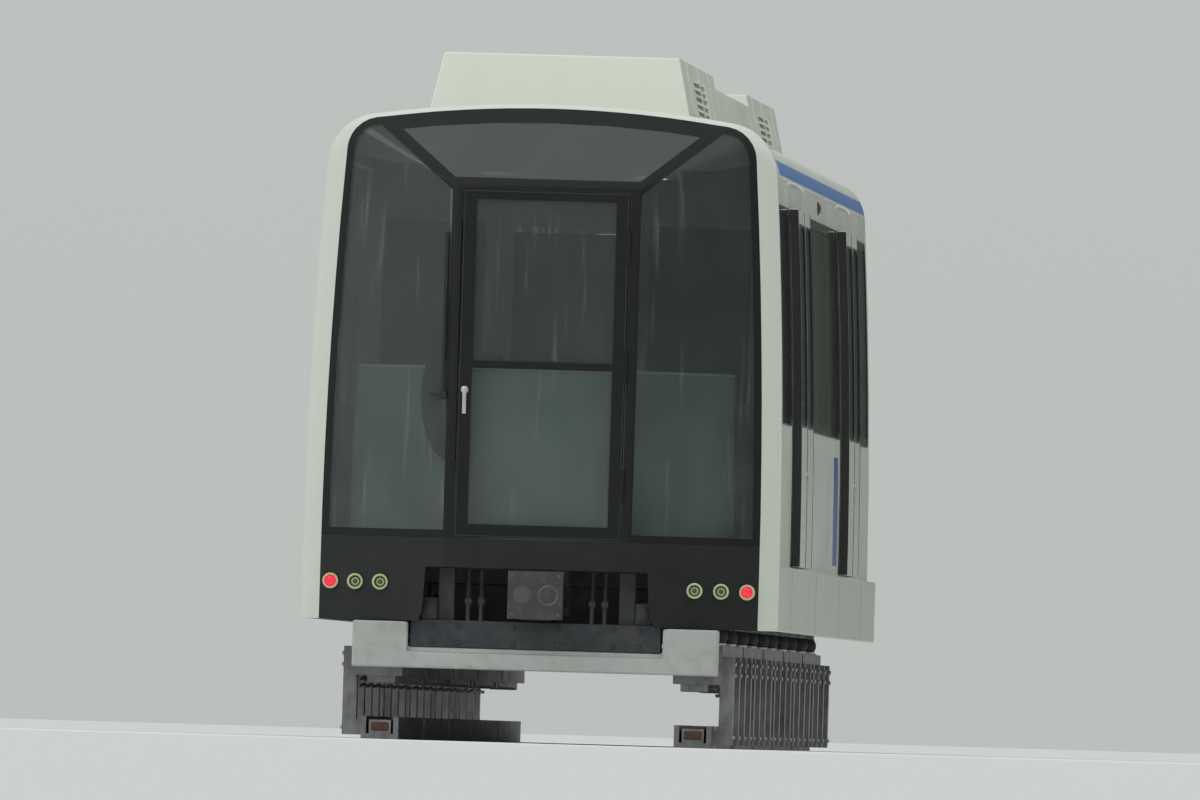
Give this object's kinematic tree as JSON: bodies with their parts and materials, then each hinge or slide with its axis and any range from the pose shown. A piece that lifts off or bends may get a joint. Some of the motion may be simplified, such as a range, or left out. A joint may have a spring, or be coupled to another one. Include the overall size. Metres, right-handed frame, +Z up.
{
  "type": "maglev train cab car",
  "caption": "Lead cab car of an urban maglev train: hollow saloon with sliding door leaves and a hinged front door, carried on swivelling bogies of levitation modules.",
  "frame": {"origin": "middle of the car's length and width, at the underside of the levitation magnets on which it is parked", "axes": "+Z up, -Y forwards out of the cab, +X to the driver's left"},
  "size_m": [2.59, 14, 3.75],
  "materials": {
    "body_white": "satin warm white paint",
    "skirt_white": "satin warm white paint with road film",
    "rim_white": "gloss white moulding",
    "roof_white": "matte off-white paint",
    "dark_glass": "polished dark tinted glass",
    "nose_black": "gloss black paint",
    "apron_graphite": "satin graphite paint",
    "lamp_lens": "clear moulded lens",
    "dark_steel": "dull dark grey paint",
    "module_steel": "dull grey paint with brake dust",
    "deflector_grey": "worn pale grey paint",
    "bellows_rubber": "matte coated fabric",
    "console_teal": "matte teal grey moulding",
    "seat_fabric": "woven blue moquette",
    "lining_grey": "matte pale laminate"
  },
  "bodies": {
    "car_body": {"underframe": "dark_steel", "side_wall_left": "body_white", "side_wall_right": "body_white", "skirt_left": "skirt_white", "skirt_right": "skirt_white", "window_cab_left": "dark_glass", "window_cab_right": "dark_glass", "window_middle_left": "dark_glass", "window_middle_right": "dark_glass", "window_end_left": "dark_glass", "window_end_right": "dark_glass", "bench_middle_left": "seat_fabric", "bench_middle_right": "seat_fabric", "bench_end_left": "seat_fabric", "bench_end_right": "seat_fabric", "roof_shell": "roof_white", "aircon_front": "roof_white", "aircon_rear": "roof_white", "roof_fairing": "roof_white", "rear_end_wall": "body_white", "gangway_bellows": "bellows_rubber", "cab_rim": "rim_white", "nose_frame": "nose_black", "nose_pane_left": "dark_glass", "nose_pane_right": "dark_glass", "nose_pane_top": "dark_glass", "apron": "apron_graphite", "lamps_left": "lamp_lens", "lamps_right": "lamp_lens", "coupler_struts": "dark_steel", "deflector": "deflector_grey", "cab_console": "console_teal", "cab_seat": "seat_fabric", "cab_bulkhead": "lining_grey", "underfloor_equipment": "dark_steel", "wiper": "bellows_rubber", "wiper_housing": "nose_black"},
    "front_door": {"front_door": "nose_black", "front_door_glass": "dark_glass"},
    "leaf_front_left_fore": {"leaf_front_left_fore": "body_white"},
    "leaf_front_left_aft": {"leaf_front_left_aft": "body_white"},
    "leaf_front_right_fore": {"leaf_front_right_fore": "body_white"},
    "leaf_front_right_aft": {"leaf_front_right_aft": "body_white"},
    "leaf_rear_left_fore": {"leaf_rear_left_fore": "body_white"},
    "leaf_rear_left_aft": {"leaf_rear_left_aft": "body_white"},
    "leaf_rear_right_fore": {"leaf_rear_right_fore": "body_white"},
    "leaf_rear_right_aft": {"leaf_rear_right_aft": "body_white"},
    "front_coupler": {"front_coupler": "dark_steel"},
    "rear_drawbar": {"rear_drawbar": "dark_steel"},
    "bogie_1": {"module_1_left": "module_steel", "module_1_right": "module_steel"},
    "bogie_2": {"module_2_left": "module_steel", "module_2_right": "module_steel"},
    "bogie_3": {"module_3_left": "module_steel", "module_3_right": "module_steel"},
    "bogie_4": {"module_4_left": "module_steel", "module_4_right": "module_steel"},
    "bogie_5": {"module_5_left": "module_steel", "module_5_right": "module_steel"}
  },
  "joints": [
    {"name": "front_door_hinge", "type": "hinge", "parent": "car_body", "child": "front_door", "pos_m": [0.453, -6.988, 2.045], "axis": [0, 0, 1], "range_deg": [0, 100]},
    {"name": "door_front_left_fore", "type": "slide", "parent": "car_body", "child": "leaf_front_left_fore", "axis": [0, -1, 0], "range_m": [0, 0.72]},
    {"name": "door_front_left_aft", "type": "slide", "parent": "car_body", "child": "leaf_front_left_aft", "axis": [0, 1, 0], "range_m": [0, 0.72]},
    {"name": "door_front_right_fore", "type": "slide", "parent": "car_body", "child": "leaf_front_right_fore", "axis": [0, -1, 0], "range_m": [0, 0.72]},
    {"name": "door_front_right_aft", "type": "slide", "parent": "car_body", "child": "leaf_front_right_aft", "axis": [0, 1, 0], "range_m": [0, 0.72]},
    {"name": "door_rear_left_fore", "type": "slide", "parent": "car_body", "child": "leaf_rear_left_fore", "axis": [0, -1, 0], "range_m": [0, 0.72]},
    {"name": "door_rear_left_aft", "type": "slide", "parent": "car_body", "child": "leaf_rear_left_aft", "axis": [0, 1, 0], "range_m": [0, 0.72]},
    {"name": "door_rear_right_fore", "type": "slide", "parent": "car_body", "child": "leaf_rear_right_fore", "axis": [0, -1, 0], "range_m": [0, 0.72]},
    {"name": "door_rear_right_aft", "type": "slide", "parent": "car_body", "child": "leaf_rear_right_aft", "axis": [0, 1, 0], "range_m": [0, 0.72]},
    {"name": "coupler_swing", "type": "hinge", "parent": "car_body", "child": "front_coupler", "pos_m": [0, -6.38, 0.8], "axis": [0, 0, 1], "range_deg": [-15, 15]},
    {"name": "drawbar_swing", "type": "hinge", "parent": "car_body", "child": "rear_drawbar", "pos_m": [0, 6.7, 0.8], "axis": [0, 0, 1], "range_deg": [-10, 10]},
    {"name": "bogie_1_yaw", "type": "hinge", "parent": "car_body", "child": "bogie_1", "pos_m": [0, -5.24, 0.5], "axis": [0, 0, 1], "range_deg": [-4, 4]},
    {"name": "bogie_2_yaw", "type": "hinge", "parent": "car_body", "child": "bogie_2", "pos_m": [0, -2.62, 0.5], "axis": [0, 0, 1], "range_deg": [-2, 2]},
    {"name": "bogie_3_yaw", "type": "hinge", "parent": "car_body", "child": "bogie_3", "pos_m": [0, 0, 0.5], "axis": [0, 0, 1], "range_deg": [-1, 1]},
    {"name": "bogie_4_yaw", "type": "hinge", "parent": "car_body", "child": "bogie_4", "pos_m": [0, 2.62, 0.5], "axis": [0, 0, 1], "range_deg": [-2, 2]},
    {"name": "bogie_5_yaw", "type": "hinge", "parent": "car_body", "child": "bogie_5", "pos_m": [0, 5.24, 0.5], "axis": [0, 0, 1], "range_deg": [-4, 4]}
  ],
  "couplings": [
    {"joint": "door_front_left_aft", "follows": "door_front_left_fore", "ratio": 1},
    {"joint": "door_front_right_aft", "follows": "door_front_right_fore", "ratio": 1},
    {"joint": "door_rear_left_aft", "follows": "door_rear_left_fore", "ratio": 1},
    {"joint": "door_rear_right_aft", "follows": "door_rear_right_fore", "ratio": 1}
  ]
}
